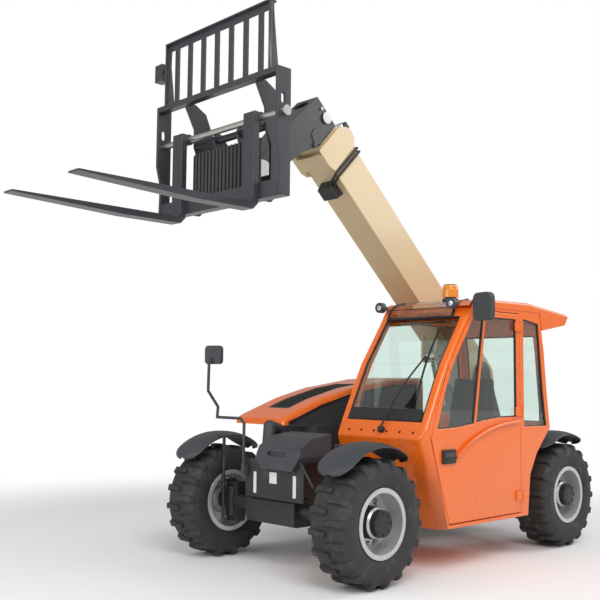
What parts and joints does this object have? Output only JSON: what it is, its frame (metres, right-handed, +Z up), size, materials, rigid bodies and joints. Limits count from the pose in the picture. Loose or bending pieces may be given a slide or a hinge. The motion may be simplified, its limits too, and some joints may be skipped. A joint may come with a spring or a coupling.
{
  "type": "compact telescopic handler with pallet forks",
  "caption": "Compact telescopic handler with a side cab, a raised telescopic boom, a fork carriage with load backrest, steered wheels, and a door and hood that open.",
  "frame": {"origin": "on the ground, under the middle of the bounding box", "axes": "+X forward along the forks, +Y to the machine's left, +Z up"},
  "size_m": [4.9459, 2.0584, 3.8],
  "materials": {
    "tyre": "matt black rubber",
    "rim_silver": "satin silver paint",
    "chassis_black": "satin black paint",
    "dark_plastic": "grained dark grey plastic",
    "body_orange": "gloss orange paint",
    "window_glass": "clear green-tinted glass",
    "seat_fabric": "black woven cover",
    "cab_grey": "grained dark grey plastic",
    "engine_grey": "dark grey castings",
    "boom_cream": "gloss cream paint",
    "carriage_grey": "satin slate grey paint",
    "zinc": "zinc plate",
    "chrome": "polished hard chrome"
  },
  "bodies": {
    "chassis": {"frame": "chassis_black", "side_plate_left": "chassis_black", "side_plate_right": "chassis_black", "intake_pipe": "dark_plastic", "front_axle": "chassis_black", "rear_axle": "chassis_black", "counterweight": "chassis_black", "engine_bay": "dark_plastic", "engine": "engine_grey", "cab_shell": "body_orange", "cab_roof": "body_orange", "cab_glass": "window_glass", "seat": "seat_fabric", "seat_box": "cab_grey", "steering_wheel": "dark_plastic", "front_cover": "dark_plastic", "mirror_left": "dark_plastic", "mirror_right": "dark_plastic", "beacon": "dark_plastic", "work_lamps": "dark_plastic"},
    "door": {"door": "body_orange", "door_glass": "window_glass"},
    "hood": {"hood": "body_orange", "hood_grille": "dark_plastic"},
    "boom": {"boom": "boom_cream", "boom_lines": "chassis_black", "boom_lamp": "dark_plastic"},
    "telescope": {"inner_boom": "boom_cream", "boom_head": "carriage_grey"},
    "hitch_pin": {"hitch_pin": "zinc"},
    "carriage": {"carriage": "carriage_grey", "carriage_screen": "chassis_black", "quick_hitch": "carriage_grey", "fork_shaft": "zinc", "backrest": "carriage_grey"},
    "fork_left": {"fork_left": "carriage_grey"},
    "fork_right": {"fork_right": "carriage_grey"},
    "lift_barrel": {"lift_barrel": "chassis_black"},
    "lift_rod": {"lift_rod": "chrome"},
    "knuckle_front_left": {"knuckle_front_left": "chassis_black", "fender_front_left": "dark_plastic"},
    "wheel_front_left": {"rim_front_left": "rim_silver", "tyre_front_left": "tyre"},
    "knuckle_front_right": {"knuckle_front_right": "chassis_black", "fender_front_right": "dark_plastic"},
    "wheel_front_right": {"rim_front_right": "rim_silver", "tyre_front_right": "tyre"},
    "knuckle_rear_left": {"knuckle_rear_left": "chassis_black", "fender_rear_left": "dark_plastic"},
    "wheel_rear_left": {"rim_rear_left": "rim_silver", "tyre_rear_left": "tyre"},
    "knuckle_rear_right": {"knuckle_rear_right": "chassis_black", "fender_rear_right": "dark_plastic"},
    "wheel_rear_right": {"rim_rear_right": "rim_silver", "tyre_rear_right": "tyre"}
  },
  "joints": [
    {"name": "door_hinge", "type": "hinge", "parent": "chassis", "child": "door", "pos_m": [-1.095, 0.7918, 1.1], "axis": [0, 0, 1], "range_deg": [0, 95]},
    {"name": "hood_hinge", "type": "hinge", "parent": "chassis", "child": "hood", "pos_m": [-1.499, -0.6242, 1.01], "axis": [0, -1, 0], "range_deg": [0, 55]},
    {"name": "boom_lift", "type": "hinge", "parent": "chassis", "child": "boom", "pos_m": [-1.819, -0.2042, 1.4], "axis": [0, -1, 0], "range_deg": [-45.7, 28]},
    {"name": "boom_telescope", "type": "slide", "parent": "boom", "child": "telescope", "axis": [0.7431, 0, 0.6691], "range_m": [0, 1.7]},
    {"name": "carriage_level", "type": "hinge", "parent": "telescope", "child": "hitch_pin", "pos_m": [0.85127, -0.2042, 2.7803], "axis": [0, 1, 0], "range_deg": [-45.7, 28]},
    {"name": "carriage_tilt", "type": "hinge", "parent": "hitch_pin", "child": "carriage", "pos_m": [0.85127, -0.2042, 2.7803], "axis": [0, 1, 0], "range_deg": [-10, 75]},
    {"name": "fork_left_slide", "type": "slide", "parent": "carriage", "child": "fork_left", "axis": [0, 1, 0], "range_m": [-0.26, 0.18]},
    {"name": "fork_right_slide", "type": "slide", "parent": "carriage", "child": "fork_right", "axis": [0, -1, 0], "range_m": [-0.26, 0.18]},
    {"name": "lift_swing", "type": "hinge", "parent": "chassis", "child": "lift_barrel", "pos_m": [-1.649, -0.2042, 0.4], "axis": [0, -1, 0], "range_deg": [-10.5, 6.5]},
    {"name": "lift_stroke", "type": "slide", "parent": "lift_barrel", "child": "lift_rod", "axis": [0.3091, 0, 0.951], "range_m": [-0.42, 0.27]},
    {"name": "steer_front_left", "type": "hinge", "parent": "chassis", "child": "knuckle_front_left", "pos_m": [0.5185, 0.4758, 0.4155], "axis": [0, 0, 1], "range_deg": [-35, 35]},
    {"name": "roll_front_left", "type": "hinge", "parent": "knuckle_front_left", "child": "wheel_front_left", "pos_m": [0.5185, 0.6273, 0.4155], "axis": [0, 1, 0], "continuous": true},
    {"name": "steer_front_right", "type": "hinge", "parent": "chassis", "child": "knuckle_front_right", "pos_m": [0.5185, -0.7242, 0.4155], "axis": [0, 0, 1], "range_deg": [-35, 35]},
    {"name": "roll_front_right", "type": "hinge", "parent": "knuckle_front_right", "child": "wheel_front_right", "pos_m": [0.5185, -0.8757, 0.4155], "axis": [0, 1, 0], "continuous": true},
    {"name": "steer_rear_left", "type": "hinge", "parent": "chassis", "child": "knuckle_rear_left", "pos_m": [-1.8165, 0.4758, 0.4155], "axis": [0, 0, 1], "range_deg": [-35, 35]},
    {"name": "roll_rear_left", "type": "hinge", "parent": "knuckle_rear_left", "child": "wheel_rear_left", "pos_m": [-1.8165, 0.6273, 0.4155], "axis": [0, 1, 0], "continuous": true},
    {"name": "steer_rear_right", "type": "hinge", "parent": "chassis", "child": "knuckle_rear_right", "pos_m": [-1.8165, -0.7242, 0.4155], "axis": [0, 0, 1], "range_deg": [-35, 35]},
    {"name": "roll_rear_right", "type": "hinge", "parent": "knuckle_rear_right", "child": "wheel_rear_right", "pos_m": [-1.8165, -0.8757, 0.4155], "axis": [0, 1, 0], "continuous": true}
  ],
  "couplings": [
    {"joint": "carriage_level", "follows": "boom_lift", "ratio": 1},
    {"joint": "lift_swing", "follows": "boom_lift", "ratio": 0.22},
    {"joint": "lift_stroke", "follows": "boom_lift", "m_per_rad": 0.5},
    {"joint": "steer_front_right", "follows": "steer_front_left", "ratio": 1},
    {"joint": "steer_rear_right", "follows": "steer_rear_left", "ratio": 1}
  ]
}
